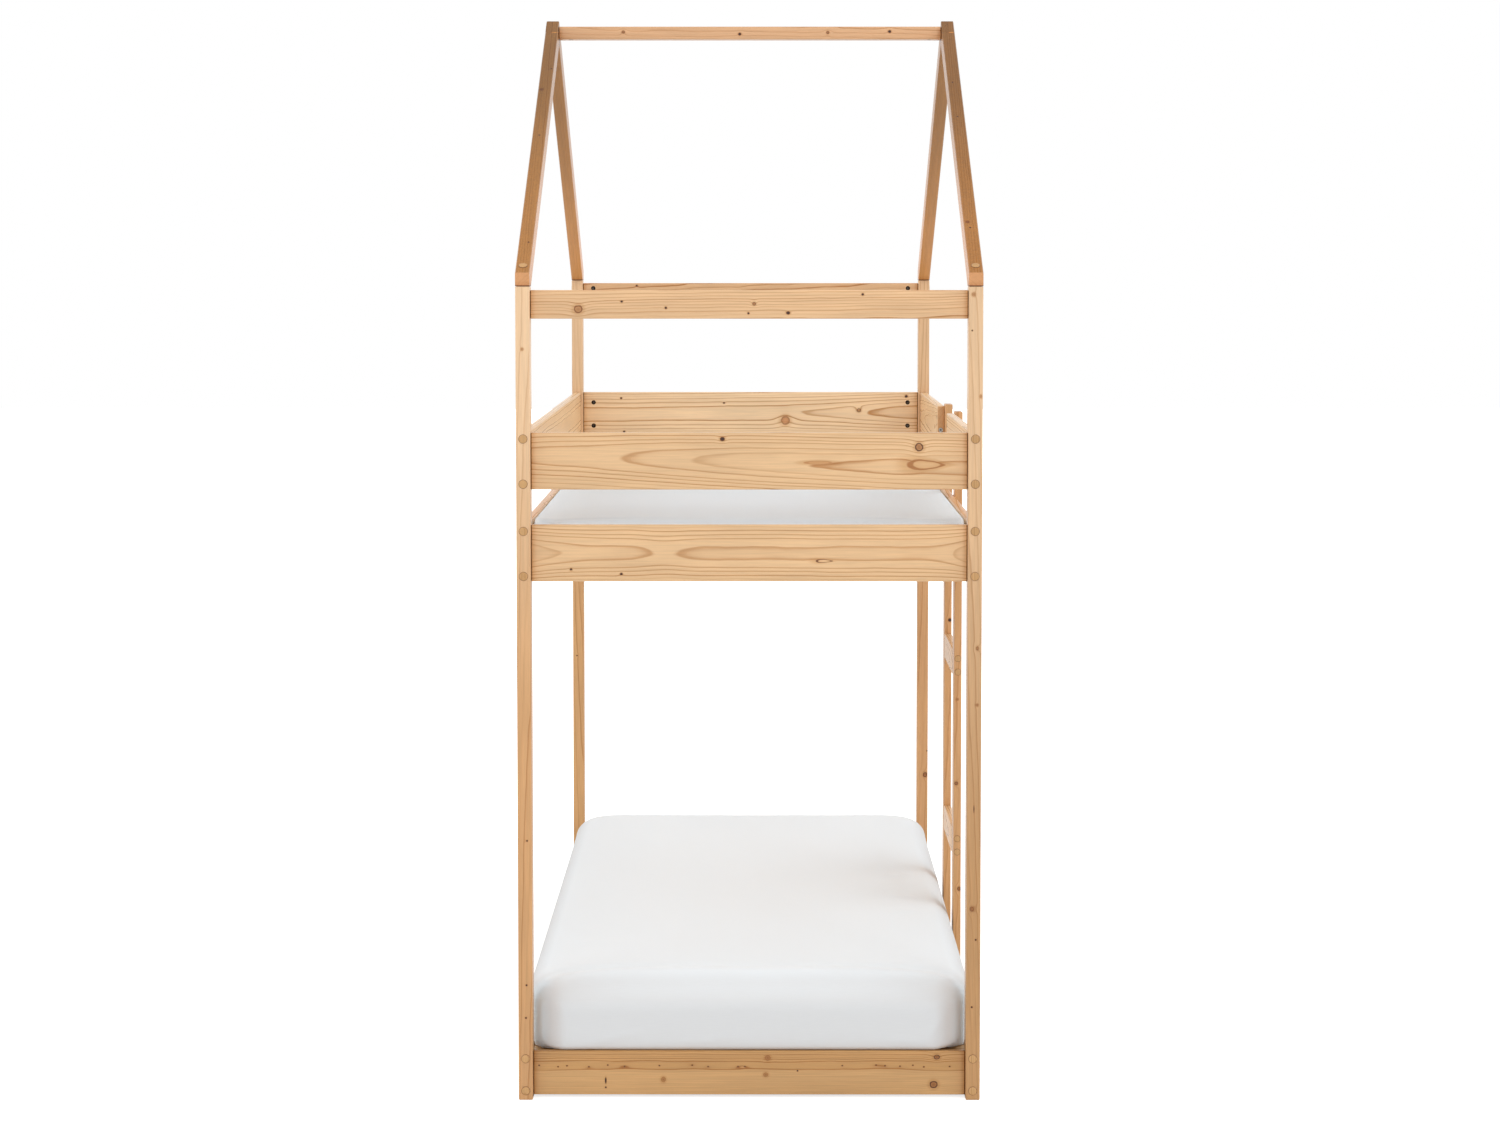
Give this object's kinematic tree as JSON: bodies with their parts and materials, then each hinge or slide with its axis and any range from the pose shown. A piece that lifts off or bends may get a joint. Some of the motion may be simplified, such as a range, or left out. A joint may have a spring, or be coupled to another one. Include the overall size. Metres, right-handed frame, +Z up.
{
  "type": "house bunk bed",
  "caption": "Wooden bunk bed with a house-shaped roof frame, guard boards round the upper bunk, a side ladder and white mattresses.",
  "frame": {"origin": "on the floor, in the middle of the overall box", "axes": "+X towards the ladder side, +Y from the foot end to the head end, +Z up"},
  "size_m": [0.9952, 2.083, 2.3573],
  "materials": {
    "pine_light": "planed pine, clear oil, matt",
    "pine_board": "planed pine, clear oil, matt",
    "pine_low": "planed pine, clear oil, matt",
    "pine_roof": "planed pine, clear oil, matt",
    "steel": "zinc plated",
    "cover": "woven cotton, matt"
  },
  "bodies": {
    "frame": {"post_foot_left": "pine_light", "post_foot_right": "pine_light", "post_head_left": "pine_light", "post_head_right": "pine_light", "rafter_foot_left": "pine_roof", "rafter_foot_right": "pine_roof", "rafter_head_left": "pine_roof", "rafter_head_right": "pine_roof", "rafter_bolt_foot_left": "steel", "rafter_bolt_foot_right": "steel", "rafter_bolt_head_left": "steel", "rafter_bolt_head_right": "steel", "ridge_beam": "pine_board", "eave_beam_foot": "pine_board", "eave_beam_head": "pine_board", "guard_board_foot": "pine_board", "guard_board_head": "pine_board", "guard_board_left": "pine_board", "guard_board_right_foot": "pine_board", "guard_board_right_head": "pine_board", "upper_rail_foot": "pine_board", "upper_rail_head": "pine_board", "upper_rail_left": "pine_board", "upper_rail_right": "pine_board", "lower_rail_foot": "pine_low", "lower_rail_head": "pine_low", "lower_rail_left": "pine_low", "lower_rail_right": "pine_low", "upper_slat_ledge_left": "pine_low", "upper_slat_ledge_right": "pine_low", "lower_slat_ledge_left": "pine_low", "lower_slat_ledge_right": "pine_low", "upper_slat_01": "pine_board", "upper_slat_02": "pine_board", "upper_slat_03": "pine_board", "upper_slat_04": "pine_board", "upper_slat_05": "pine_board", "upper_slat_06": "pine_board", "upper_slat_07": "pine_board", "upper_slat_08": "pine_board", "upper_slat_09": "pine_board", "upper_slat_10": "pine_board", "upper_slat_11": "pine_board", "lower_slat_01": "pine_board", "lower_slat_02": "pine_board", "lower_slat_03": "pine_board", "lower_slat_04": "pine_board", "lower_slat_05": "pine_board", "lower_slat_06": "pine_board", "lower_slat_07": "pine_board", "lower_slat_08": "pine_board", "lower_slat_09": "pine_board", "lower_slat_10": "pine_board", "lower_slat_11": "pine_board", "ladder_upright_foot": "pine_board", "ladder_upright_head": "pine_board", "ladder_rung_lower": "pine_board", "ladder_rung_upper": "pine_board"},
    "upper_mattress": {"mattress_upper": "cover"},
    "lower_mattress": {"mattress_lower": "cover"}
  },
  "joints": [
    {"name": "upper_mattress_lift", "type": "slide", "parent": "frame", "child": "upper_mattress", "axis": [0, 0, 1], "range_m": [0, 0.32]},
    {"name": "lower_mattress_lift", "type": "slide", "parent": "frame", "child": "lower_mattress", "axis": [0, 0, 1], "range_m": [0, 0.25]}
  ]
}
